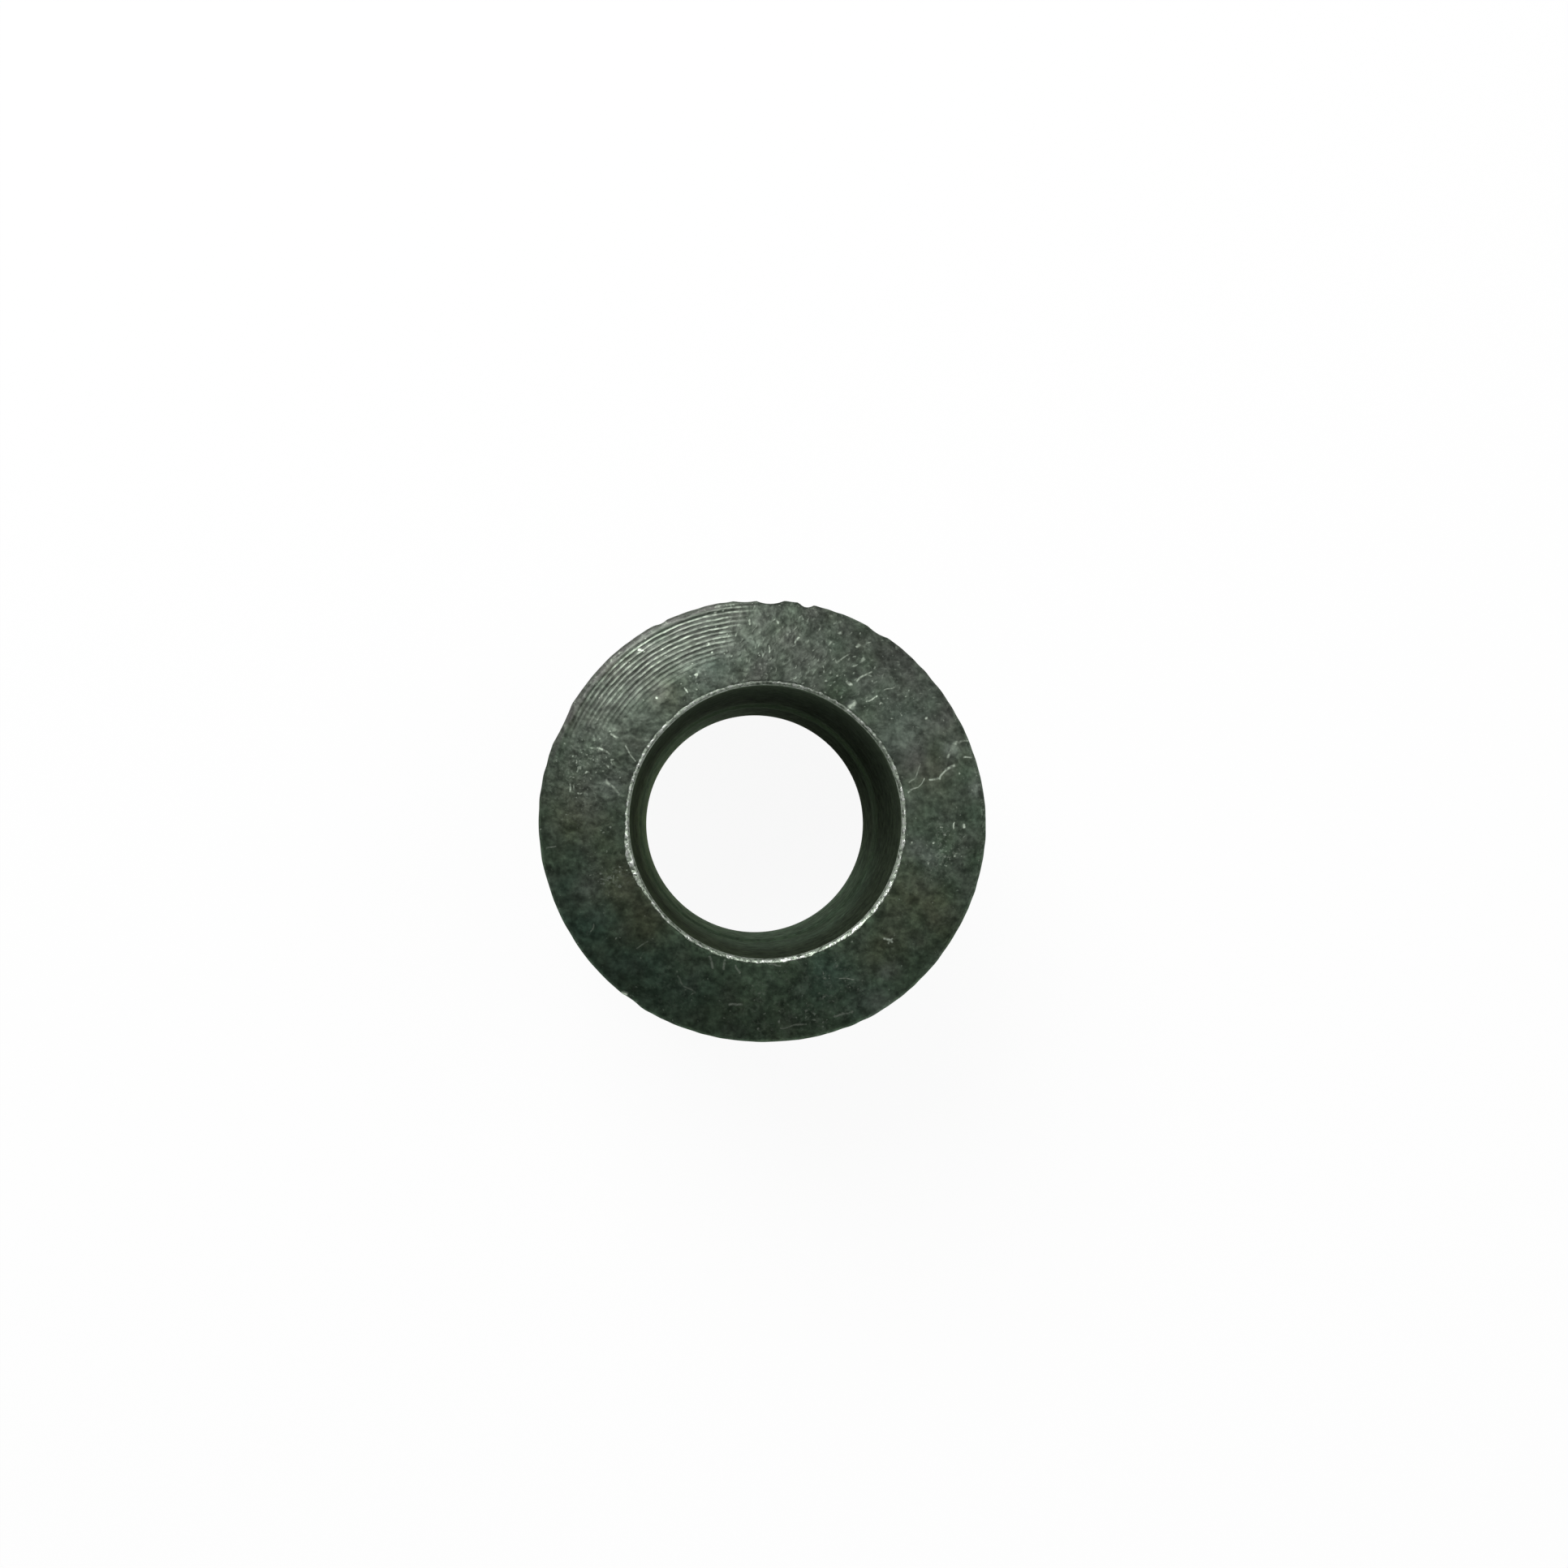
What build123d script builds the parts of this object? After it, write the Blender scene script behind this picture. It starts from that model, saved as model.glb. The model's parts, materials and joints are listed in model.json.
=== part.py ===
from build123d import *
import math
import os

# A clutch nut: one plain round sleeve of blackened steel, bored right through.
# Lengths are millimetres, +Z is up, and +Y is away from someone who looks down with +X at the right.
# The origin is on the bore's axis, in the flat end that the nut rests on.

# Outside of the body, which runs a little out of true with the bore
outer_diameter = 32.0
body_height = 28.0
body_offset_x = -0.13
body_offset_y = 0.07
foot_chamfer = 0.8

# Upper end: a shallow crown that falls from the bore's mouth to the outer edge
crown_drop = 1.2
crown_radius = 26.0
crown_edge_radius = 0.5

# Bore: the lower stretch fits the shaft, and the upper stretch is relieved above a sloping shoulder
bore_diameter = 19.1
bore_relief = 0.2
lower_bore_length = 10.0
shoulder_height = 0.15
mouth_chamfer = 0.25
foot_mouth_chamfer = 0.5

# Knocks in the crown's outer edge: bearing from +X in degrees, half width and depth of each
edge_knocks = [
    (58.7, 0.95, 0.22),
    (78.8, 0.65, 0.36),
    (88.5, 1.25, 0.42),
    (94, 1.2, 0.26),
    (117.3, 0.45, 0.10),
    (154.5, 1.2, 0.13),
    (233.7, 1.0, 0.16),
]
# How far below the edge a knock runs out into the wall, for each millimetre of its depth
knock_runout = 9.0

outer_radius = outer_diameter / 2
bore_radius = bore_diameter / 2
relieved_radius = bore_radius + bore_relief
crown_foot_height = body_height - crown_drop
body_foot = Vector(body_offset_x, body_offset_y, 0)


def knock(bearing, half_width, depth):
    """Cuts a hollow out of the crown's outer edge with a round bar that leans away from the wall.

    A bar of radius r laid into a wall of radius R to a depth d marks a width 2w, where
    d = w^2 / 2R + w^2 / 2r, so r follows from the width and the depth.
    """
    depth_without_bar = half_width**2 / (2 * outer_radius)
    bar_radius = half_width**2 / (2 * (depth - depth_without_bar))
    runout = depth * knock_runout
    lean = math.degrees(math.atan2(depth, runout))
    outward = Vector(1, 0, 0).rotate(Axis.Z, bearing)
    along = Vector(0, 1, 0).rotate(Axis.Z, bearing)
    bar_middle = body_foot + outward * (outer_radius - depth + bar_radius)
    bar_middle += Vector(0, 0, crown_foot_height)
    bar_direction = Vector(0, 0, 1).rotate(Axis(origin=(0, 0, 0), direction=along), -lean)
    with Locations(Plane(origin=bar_middle, x_dir=along, z_dir=bar_direction)):
        Cylinder(radius=bar_radius, height=2 * runout, mode=Mode.SUBTRACT)


with BuildPart() as clutch_nut:
    # Outside, revolved about its own axis: foot, wall and crown
    with BuildSketch(Plane.XZ.offset(-body_offset_y)):
        with BuildLine(Location((body_offset_x, 0))):
            wall_top = (outer_radius, crown_foot_height)
            crown_start = (relieved_radius, body_height)
            Polyline(
                (0, 0),
                (outer_radius - foot_chamfer, 0),
                (outer_radius, foot_chamfer),
                wall_top,
            )
            RadiusArc(wall_top, crown_start, -crown_radius)
            Polyline(crown_start, (0, body_height), (0, 0))
        make_face()
    revolve(axis=Axis(origin=body_foot, direction=(0, 0, 1)))

    # Rounded outer edge of the crown
    wall = clutch_nut.faces().filter_by(GeomType.CYLINDER)[0]
    fillet(wall.edges().sort_by(Axis.Z)[-1], crown_edge_radius)

    # Bore, revolved about the origin's axis: both stretches, the shoulder and the broken mouths
    with BuildSketch(Plane.XZ):
        with BuildLine():
            Polyline(
                (0, 0),
                (bore_radius + foot_mouth_chamfer, 0),
                (bore_radius, foot_mouth_chamfer),
                (bore_radius, lower_bore_length - shoulder_height),
                (relieved_radius, lower_bore_length),
                (relieved_radius, body_height - mouth_chamfer),
                (relieved_radius + 2 * mouth_chamfer, body_height + mouth_chamfer),
                (0, body_height + mouth_chamfer),
                close=True,
            )
        make_face()
    revolve(axis=Axis.Z, mode=Mode.SUBTRACT)

    for bearing, half_width, depth in edge_knocks:
        knock(bearing, half_width, depth)

clutch_nut.part.label = "clutch_nut"

os.makedirs("parts", exist_ok=True)
export_step(clutch_nut.part, "parts/clutch_nut.step")
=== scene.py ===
import json
import math

import bpy
import numpy as np
from mathutils import Matrix, Vector


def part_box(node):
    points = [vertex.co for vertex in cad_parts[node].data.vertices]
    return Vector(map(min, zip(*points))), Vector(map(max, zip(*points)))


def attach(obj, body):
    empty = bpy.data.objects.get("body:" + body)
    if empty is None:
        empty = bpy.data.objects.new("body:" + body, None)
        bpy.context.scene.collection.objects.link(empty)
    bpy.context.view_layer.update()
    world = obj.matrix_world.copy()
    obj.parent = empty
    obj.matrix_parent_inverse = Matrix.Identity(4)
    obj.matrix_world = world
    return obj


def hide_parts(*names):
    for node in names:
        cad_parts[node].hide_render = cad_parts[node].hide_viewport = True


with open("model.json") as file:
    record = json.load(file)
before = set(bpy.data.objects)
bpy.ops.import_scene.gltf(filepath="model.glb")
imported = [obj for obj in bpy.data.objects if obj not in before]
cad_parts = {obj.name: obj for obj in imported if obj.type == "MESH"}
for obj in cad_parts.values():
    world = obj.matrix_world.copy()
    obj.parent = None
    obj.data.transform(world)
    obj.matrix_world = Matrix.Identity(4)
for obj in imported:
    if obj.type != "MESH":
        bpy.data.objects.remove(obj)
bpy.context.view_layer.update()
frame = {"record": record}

# The nut is worked out in millimetres and made in metres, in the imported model's own frame.
MM = 0.001

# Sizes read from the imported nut: its outside, its two stretches of bore and their ends
nut_low, nut_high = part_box("clutch_nut")
mounts = {mount["name"]: mount for mount in frame["record"]["mounts"]}
OUTER_RADIUS = (nut_high.x - nut_low.x) / 2 / MM
BODY_AXIS = np.array([nut_low.x + nut_high.x, nut_low.y + nut_high.y]) / 2 / MM
HEIGHT = round(nut_high.z / MM, 1)
BORE_RADIUS = mounts["shaft_bore"]["dims"]["r_mm"]
RELIEVED_RADIUS = mounts["relieved_bore"]["dims"]["r_mm"]
BORE_MIDDLE = mounts["shaft_bore"]["pos_m"][2] / MM
FOOT_MOUTH_CHAMFER = BORE_MIDDLE - mounts["shaft_bore"]["dims"]["length_mm"] / 2
SHOULDER_LOW = BORE_MIDDLE + mounts["shaft_bore"]["dims"]["length_mm"] / 2
RELIEVED_MIDDLE = mounts["relieved_bore"]["pos_m"][2] / MM
SHOULDER_TOP = RELIEVED_MIDDLE - mounts["relieved_bore"]["dims"]["length_mm"] / 2
MOUTH_CHAMFER = HEIGHT - RELIEVED_MIDDLE - mounts["relieved_bore"]["dims"]["length_mm"] / 2
MOUTH_RADIUS = RELIEVED_RADIUS + MOUTH_CHAMFER

# Sizes that the frame doesn't state: the crown and the outer edges
CROWN_DROP = 1.2
CROWN_RADIUS = 26.0
CROWN_EDGE_RADIUS = 0.5
FOOT_CHAMFER = 0.8

# How far before and after each corner of the section its rounding reaches
CROWN_EDGE_REACH = CROWN_EDGE_RADIUS * 0.72
FOOT_EDGE_REACH = 0.15
FOOT_MOUTH_REACH = 0.08
BORE_FOOT_REACH = 0.10
SHOULDER_REACH = 0.06
MOUTH_REACH = 0.11
MOUTH_LOW_REACH = 0.09

# How far the body is out of round: lobes, height of each lobe and the bearing of the first
LOBES = [
    (2, 0.090, -22.0),
    (3, 0.030, -33.0),
    (4, 0.015, -42.0),
    (5, 0.013, -3.0),
    (6, 0.029, 0.0),
]

# Knocks in the crown's outer edge: bearing from +X in degrees, half width and depth of each
EDGE_KNOCKS = [
    (58.7, 0.95, 0.22),
    (78.8, 0.65, 0.36),
    (88.5, 1.25, 0.42),
    (94, 1.2, 0.26),
    (117.3, 0.45, 0.10),
    (154.5, 1.2, 0.13),
    (233.7, 1.0, 0.16),
]
# How far below the edge a knock runs out into the wall, for each millimetre of its depth
KNOCK_RUNOUT = 9.0

# Turning marks left by a skim cut that ran off the bore's axis
CUT_CENTRE = np.array([-0.67, 0.70])
CUT_PITCH = 0.342
CUT_DEPTH = 0.031
# The mesh carries this share of the marks' depth, and the finish of the crown the rest
MESHED_SHARE = 0.35
CUT_FIRST_RADIUS = 10.89
CUT_LAST_RADIUS = 15.4
# Rings of the mesh are fine enough for the marks as far in as this
MARKS_INNER_RADIUS = RELIEVED_RADIUS + 1.75
# Bearings at which the outermost mark starts and ends, over how many degrees it rises and fades,
# and how much later and sooner each millimetre further in starts and ends
MARKS_START = 85
MARKS_RISE = 12
MARKS_END = 168
MARKS_FADE = 36
MARKS_LATER = 3.6
MARKS_SOONER = 2.0

# Reaches of the crown by bearing, each as two bearings where it rises and two where it fades
PEBBLED_BEARINGS = (10, 62, 92, 116)
STREAKED_BEARINGS = (96, 118, 162, 176)
BAND_BEARINGS = (96, 106, 150, 168)

# Burnished band at the crown's outer edge, beside the marks, lighter partly as a painted sheen where the
# light falls, and the dark line along its inner side: how far in from the wall each one starts and ends
BAND_START = 0.70
BAND_FULL = 0.45
DARK_LINE_START = 0.85
DARK_LINE_END = 0.30

# Uneven skin, worn mouth and worn outer edge: height, wavelength and seed of each ripple
SKIN_RIPPLES = [(0.006, 2.6, 11), (0.003, 0.95, 12)]
MOUTH_RIPPLES = [(0.012, 1.3, 14), (0.006, 0.45, 15)]
EDGE_RIPPLES = [(0.010, 1.1, 16)]
MOUTH_WORN_AWAY = 0.012

# Worn mouth of the bore, by bearing: how far bare steel reaches onto the crown, and how bare it is;
# how bare also sets how strongly the painted highlights show there, and over 1 paints them brighter
MOUTH_WEAR_AND_HIGHLIGHT = [
    (0, 0.03, 1.30),
    (15, 0.04, 1.10),
    (30, 0.04, 0.85),
    (45, 0.00, 0.90),
    (60, 0.00, 0.85),
    (75, 0.01, 0.80),
    (90, 0.02, 0.75),
    (105, 0.01, 1.20),
    (120, 0.04, 1.30),
    (135, 0.04, 1.25),
    (150, 0.04, 1.25),
    (165, 0.03, 1.05),
    (182, 0.01, 1.10),
    (193, 0.28, 0.95),
    (203, 0.22, 0.90),
    (214, 0.00, 0.90),
    (240, 0.05, 0.80),
    (255, 0.05, 0.85),
    (270, 0.06, 0.85),
    (300, 0.08, 1.00),
    (330, 0.09, 1.05),
    (345, 0.05, 1.20),
]
# Worn mouth by bearing: how far it stands out of round, and how much wider it is worn
MOUTH_SHAPE = [
    (0, -0.030, 0.05),
    (15, -0.020, 0.02),
    (30, -0.030, 0.00),
    (45, -0.090, 0.00),
    (60, -0.060, 0.00),
    (75, -0.020, 0.00),
    (90, -0.030, 0.00),
    (105, -0.040, 0.00),
    (120, -0.065, 0.00),
    (135, -0.110, 0.00),
    (150, -0.040, 0.00),
    (180, -0.045, 0.00),
    (210, -0.040, 0.00),
    (225, 0.000, 0.02),
    (240, 0.010, 0.04),
    (255, 0.035, 0.07),
    (270, 0.030, 0.09),
    (285, 0.010, 0.10),
    (300, 0.000, 0.10),
    (315, 0.020, 0.10),
    (330, 0.000, 0.10),
    (345, -0.030, 0.08),
]
# The worn mouth is narrower than the chamfer that was cut, and is out of round this far down
WORN_MOUTH_WIDTH = 0.11
WORN_MOUTH_DEPTH = 0.22
OUT_OF_ROUND_DEPTH = 2.4
# The lip is the bore's wall down to here
LIP_DEPTH = 2.0

# Worn outer edge of the crown, by bearing: how bare it is
EDGE_WEAR = [
    (0, 0.50),
    (12, 0.65),
    (25, 0.35),
    (45, 0.25),
    (75, 0.45),
    (100, 0.75),
    (130, 0.70),
    (152, 0.40),
    (168, 0.15),
    (200, 0.03),
    (270, 0.0),
    (320, 0.08),
    (345, 0.30),
]

# Bore by bearing: share that is rubbed dull metal and painted lighter as light from the floor, depth at
# which this sets in, and how bare the shoulder, the wall below the lip and the lip under the mouth are:
# a painted highlight on the shoulder, painted light below the lip, and wear with painted light on the lip
BORE_WEAR_AND_LIGHT = [
    (0, 0.40, 3, 0.38, 0.06, 0.12),
    (30, 0.16, 3, 0.80, 0.14, 0.28),
    (60, 0.20, 3, 0.80, 0.20, 0.40),
    (90, 0.38, 5, 0.75, 0.22, 0.46),
    (120, 0.70, 7, 0.75, 0.20, 1.00),
    (150, 0.80, 7, 0.60, 0.16, 1.05),
    (180, 0.82, 6, 0.30, 0.11, 0.80),
    (210, 0.84, 5, 0.30, 0.05, 0.10),
    (240, 0.94, 3, 0.24, 0.02, 0.04),
    (270, 1.00, 2, 0.16, 0.00, 0.00),
    (300, 1.00, 2, 0.15, 0.00, 0.00),
    (330, 0.82, 3, 0.19, 0.01, 0.02),
]
# Share that is rubbed above the depth at which the rubbing and painted floor light set in, and how much
# further down both are complete
BORE_WEAR_AND_LIGHT_ABOVE = 0.28
BORE_WEAR_AND_LIGHT_RUN = 16

# How far the bore's oxide leans to olive, by bearing
OLIVE_SHARE = [
    (0, 0.15),
    (60, 0.00),
    (90, 0.10),
    (120, 0.30),
    (150, 0.75),
    (180, 1.00),
    (210, 0.75),
    (240, 0.40),
    (270, 0.08),
    (330, 0.08),
]

# Soft patches of the crown's colour: x, y, radius and strength of each
COOL_PATCHES = [
    (-13.3, -5.9, 3.2, 1.0),
    (-10.5, -10.2, 2.6, 0.7),
    (-6.5, -11.7, 2.5, 0.6),
    (4.2, -11.1, 2.0, 0.8),
    (6.8, -12.8, 1.6, 0.6),
    (-3.6, 10.5, 2.0, 0.6),
    (9.6, 7.6, 2.5, 0.5),
    (11.6, -2.7, 1.0, 0.6),
]
BROWN_PATCHES = [
    (-10.2, -4.5, 2.6, 1.0),
    (-8.2, -7.3, 1.8, 0.9),
    (-13.6, 0.2, 2.4, 0.8),
    (-7.0, 9.0, 1.4, 0.8),
    (11.9, 3.6, 1.8, 0.9),
    (10.2, -5.6, 2.2, 0.9),
    (8.2, -8.8, 1.8, 0.8),
    (12.5, -6.8, 1.6, 0.8),
    (-11.4, 10.9, 1.2, 0.7),
    (-14.0, 7.4, 1.0, 0.6),
]
NEUTRAL_PATCHES = [
    (9.5, 11.5, 2.6, 0.8),
    (12.6, 7.4, 1.6, 0.6),
    (10.6, 4.4, 1.4, 0.7),
    (3.0, 11.8, 1.6, 0.4),
    (-12.2, 2.0, 1.8, 0.5),
    (13.2, -3.0, 1.6, 0.4),
]
PALE_PATCHES = [
    (10.8, -1.9, 0.6, 0.7),
    (11.7, -2.8, 0.6, 0.6),
    (7.9, -12.9, 0.9, 0.6),
    (8.5, -10.8, 0.5, 0.5),
    (13.3, 5.1, 0.6, 0.7),
    (6.1, 8.25, 0.35, 1.0),
    (15.2, 2.3, 0.5, 0.8),
    (-12.6, -4.6, 1.0, 0.4),
    (9.9, 5.9, 1.2, 0.4),
    (-11.0, 2.3, 0.8, 0.5),
]
SPECKLED_PATCHES = [
    (-13.5, 2.5, 2.6, 0.8),
    (-11.0, -4.1, 1.6, 0.9),
    (-12.0, 5.5, 2.0, 0.7),
    (12.6, -1.8, 2.0, 1.0),
    (4.5, -11.0, 1.6, 0.5),
    (4.0, -14.0, 1.8, 0.5),
    (9.0, 8.5, 3.0, 0.5),
    (-5.0, 10.5, 2.0, 0.7),
    (0.0, -13.2, 3.2, 0.6),
    (-7.0, -11.5, 2.6, 0.4),
    (6.5, -12.0, 2.4, 0.45),
]

# Single scratches, nicks and bright specks on the crown: start, end, width and brightness
STROKES = [
    # Upper left
    ((-7.76, 8.83), (-7.72, 8.83), 0.11, 1.0),
    ((-6.95, 7.08), (-6.93, 7.08), 0.10, 1.0),
    ((-5.80, 9.38), (-5.57, 9.14), 0.09, 0.9),
    ((-8.66, 13.09), (-8.64, 13.09), 0.07, 0.8),
    ((-8.98, 12.26), (-8.72, 12.12), 0.12, 0.8),
    ((-4.13, 12.58), (-4.02, 12.73), 0.09, 0.8),
    ((-3.87, 11.93), (-3.85, 11.95), 0.08, 0.7),
    ((-11.83, 5.12), (-11.25, 4.82), 0.11, 0.7),
    ((-10.97, 6.15), (-10.57, 5.98), 0.10, 0.7),
    ((-9.99, 5.34), (-9.64, 4.82), 0.06, 0.6),
    ((-9.64, 4.82), (-9.29, 4.18), 0.06, 0.5),
    ((-11.24, 2.86), (-10.43, 1.94), 0.13, 0.5),
    ((-13.97, 2.59), (-13.91, 2.13), 0.08, 0.9),
    ((-13.65, 2.47), (-13.64, 2.19), 0.07, 0.8),
    ((-13.51, 4.09), (-13.46, 4.32), 0.07, 0.6),
    # Upper right
    ((6.48, 12.44), (6.75, 12.69), 0.12, 1.0),
    ((6.76, 13.38), (6.76, 13.44), 0.07, 0.8),
    ((9.37, 12.39), (9.40, 12.44), 0.12, 0.7),
    ((6.43, 10.03), (7.53, 10.60), 0.09, 0.6),
    ((7.14, 8.52), (8.05, 9.01), 0.08, 0.7),
    ((8.55, 9.33), (9.23, 9.65), 0.07, 0.45),
    ((5.94, 9.78), (6.02, 9.84), 0.10, 0.8),
    ((5.92, 8.10), (6.36, 8.40), 0.16, 0.8),
    ((11.47, 7.36), (11.55, 7.38), 0.11, 0.8),
    ((2.42, 13.18), (2.11, 12.68), 0.07, 0.6),
    ((0.19, 12.55), (0.16, 12.06), 0.07, 0.6),
    ((5.12, 11.43), (5.97, 11.87), 0.07, 0.4),
    # Right
    ((11.72, 3.00), (12.46, 3.07), 0.08, 0.6),
    ((12.46, 3.07), (12.84, 3.68), 0.09, 0.6),
    ((12.84, 3.68), (13.65, 4.04), 0.10, 0.7),
    ((10.23, 2.10), (10.91, 2.46), 0.08, 0.6),
    ((10.91, 2.46), (11.28, 3.00), 0.07, 0.5),
    ((10.30, 2.76), (11.17, 4.03), 0.07, 0.35),
    ((13.10, 4.52), (13.73, 5.70), 0.14, 0.45),
    ((13.89, 5.64), (14.90, 5.89), 0.12, 0.6),
    ((14.31, 4.54), (14.88, 4.61), 0.10, 0.7),
    # Lower right
    ((10.44, -1.61), (10.46, -1.61), 0.09, 1.0),
    ((11.97, -1.53), (11.99, -1.50), 0.10, 1.0),
    ((14.15, -0.35), (14.22, -0.50), 0.12, 1.0),
    ((13.50, -0.15), (13.50, -0.44), 0.07, 0.84),
    ((8.42, -8.34), (9.03, -8.70), 0.12, 0.98),
    ((8.74, -8.81), (8.98, -8.46), 0.10, 0.84),
    ((5.11, -11.19), (6.26, -11.20), 0.06, 0.84),
    ((4.21, -11.18), (4.23, -11.16), 0.08, 1.0),
    ((4.97, -13.85), (5.82, -13.81), 0.10, 0.56),
    ((1.00, -14.68), (2.80, -14.53), 0.07, 0.56),
    ((0.98, -14.09), (0.98, -14.27), 0.07, 1.0),
    ((0.26, -10.09), (1.03, -10.33), 0.07, 1.0),
    # Lower left
    ((-2.52, -13.07), (-1.72, -12.98), 0.13, 0.84),
    ((-0.63, -14.86), (-0.59, -14.84), 0.11, 1.0),
    ((-4.13, -9.64), (-3.79, -10.28), 0.10, 0.49),
    ((-3.04, -9.88), (-2.99, -10.45), 0.10, 0.56),
    ((-2.13, -10.14), (-1.95, -10.69), 0.09, 0.56),
    ((-6.29, -11.03), (-5.16, -12.17), 0.10, 0.31),
    ((-10.07, -12.14), (-9.90, -12.26), 0.20, 1.0),
    ((-9.08, -9.06), (-8.37, -8.46), 0.07, 0.35),
    ((-15.61, -1.93), (-15.00, -1.78), 0.07, 0.56),
    ((-11.69, -4.16), (-11.15, -4.13), 0.07, 0.7),
    ((-10.77, -3.83), (-10.75, -4.30), 0.07, 0.7),
    ((-12.36, -7.79), (-12.30, -7.35), 0.06, 0.49),
]

# How far the oxide leans from green to a neutral grey, by bearing
NEUTRAL_SHARE = [
    (0, 0.25),
    (30, 0.36),
    (60, 0.32),
    (90, 0.52),
    (120, 0.40),
    (150, 0.45),
    (180, 0.16),
    (210, 0.02),
    (270, 0.00),
    (300, 0.07),
    (330, 0.09),
]

# Darker and lighter reaches of the crown: x, y, radius and how much is added to its tone
TONE_PATCHES = [
    (-8.5, -12.0, 4.5, -0.24),
    (-1.0, -14.5, 4.0, -0.15),
    (6.5, -13.0, 3.0, 0.06),
    (-11.0, -1.0, 3.0, -0.05),
    (13.0, 1.0, 3.0, -0.08),
    (7.5, 13.0, 3.0, -0.10),
    (-9.5, 9.5, 3.5, 0.22),
    (-4.0, 12.5, 3.0, 0.12),
    (-13.6, 6.6, 2.2, -0.12),
    (10.5, 6.0, 2.5, 0.08),
    (-9.6, -5.0, 2.2, 0.12),
    (-6.0, -9.2, 2.2, 0.16),
    (0.0, -11.0, 2.6, 0.16),
    (5.6, -9.4, 2.2, 0.12),
]

# Colours as the steel shows them under white light
OXIDE = (0.065, 0.099, 0.064, 1)
COOL_OXIDE = (0.045, 0.086, 0.067, 1)
BROWN_OXIDE = (0.092, 0.092, 0.052, 1)
NEUTRAL_OXIDE = (0.096, 0.093, 0.090, 1)
PALE_OXIDE = (0.16, 0.19, 0.16, 1)
# Burnished oxide, lighter and greyer, partly a painted sheen in the reach that faces the key lamp
BURNISHED_OXIDE_AND_SHEEN = (0.142, 0.138, 0.133, 1)
BARE_STEEL = (0.53, 0.61, 0.50, 1)
# Painted highlight: near-white colour put in spots on the worn mouth to stand for glints of light
PAINTED_HIGHLIGHT_COLOUR = (0.92, 0.96, 0.90, 1)

# How much of each surface's reflection is a metal's, in the oxide and where it is rubbed bare
OXIDE_METALLIC = 0.80
BARE_METALLIC = 1.0
# The worn mouth is rough and scatters light, so it is less of a mirror by this share
MOUTH_SCATTER = 0.5

# Share of the oxide's colour in the bore, where it is dull and where it is rubbed and painted lighter as
# light from the floor, and its sheen
BORE_TONE_ABOVE = 0.60
BORE_TONE_BELOW = 1.30
BORE_SHEEN = (0.45, 0.48, 0.45, 1)
# Steel that shows through where the bore's lip is rubbed, also the pale colour of the painted highlight on
# the shoulder and of the painted light below the lip
RUBBED_AND_LIT_BORE = (0.46, 0.62, 0.43, 1)
# What the olive lean leaves of each colour of the bore's oxide
OLIVE_TINT = (1.0, 1.03, 0.66, 1)

# Sheen of the outside where it is seen edge on
EDGE_SHEEN = (0.27, 0.31, 0.26, 1)

# Width at which the strokes are drawn, as a share of the widths listed
STROKE_WIDTH = 1.2

# Around the nut, one column of faces each 0.6 degrees
COLUMNS = 600

# Camera, in millimetres and degrees, as the bore's two ends and the outline fix it
SENSOR_WIDTH = 36.0
LENS = 36.27
CAMERA_X = -4.05
CAMERA_Y = -0.89
CAMERA_ABOVE_CROWN = 112.0
CAMERA_PITCH = 1.80
CAMERA_YAW = -2.72

# Light: share of the floor's look that shows shadow, its light, and the surroundings' two levels
FLOOR_SHADE = 0.09
FLOOR_LIGHT = 0.75
SKY_PALE = 0.8
SKY_DIM = 0.12
SKY_PALE_BELOW = 0.1
SKY_DIM_ABOVE = 0.5
FLOOR_HALF_WIDTH = 3.0


def smooth_step(value, low, high):
    """0 below low, 1 above high, and 3t^2 - 2t^3 between them."""
    t = np.clip((value - low) / (high - low), 0, 1)
    return t * t * (3 - 2 * t)


def between(value, rise_from, rise_to, fall_from, fall_to):
    """1 from rise_to to fall_from, 0 outside rise_from and fall_to, and soft in between."""
    return smooth_step(value, rise_from, rise_to) * (1 - smooth_step(value, fall_from, fall_to))


def ripple(points, wavelength, seed, waves=28):
    """Band-limited noise: the sum of cosine waves of one wavelength in seeded random directions."""
    rng = np.random.default_rng(seed)
    directions = rng.normal(size=(waves, 3))
    directions /= np.linalg.norm(directions, axis=1, keepdims=True)
    lengths = wavelength * rng.uniform(0.75, 1.35, waves)
    phases = rng.uniform(0, 2 * math.pi, waves)
    numbers = directions * (2 * math.pi / lengths)[:, None]
    total = np.zeros(points.shape[:-1])
    for number, phase in zip(numbers, phases):
        total += np.cos(points @ number + phase)
    return total * math.sqrt(2 / waves)


def ripples(points, table):
    """The sum of ripples, each with its own height, wavelength and seed."""
    return sum(height * ripple(points, wavelength, seed) for height, wavelength, seed in table)


def by_bearing(degrees, table, column=1):
    """A value read from a table of bearings, straight between its rows and closed over 360 degrees."""
    rows = np.array(table, float)
    return np.interp(degrees, rows[:, 0], rows[:, column], period=360)


def patches(x, y, table):
    """The sum of soft round patches, each strength times exp(-(distance / radius)^2)."""
    total = np.zeros(x.shape)
    for centre_x, centre_y, radius, strength in table:
        distance_squared = (x - centre_x) ** 2 + (y - centre_y) ** 2
        total += strength * np.exp(-distance_squared / radius**2)
    return total


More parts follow.
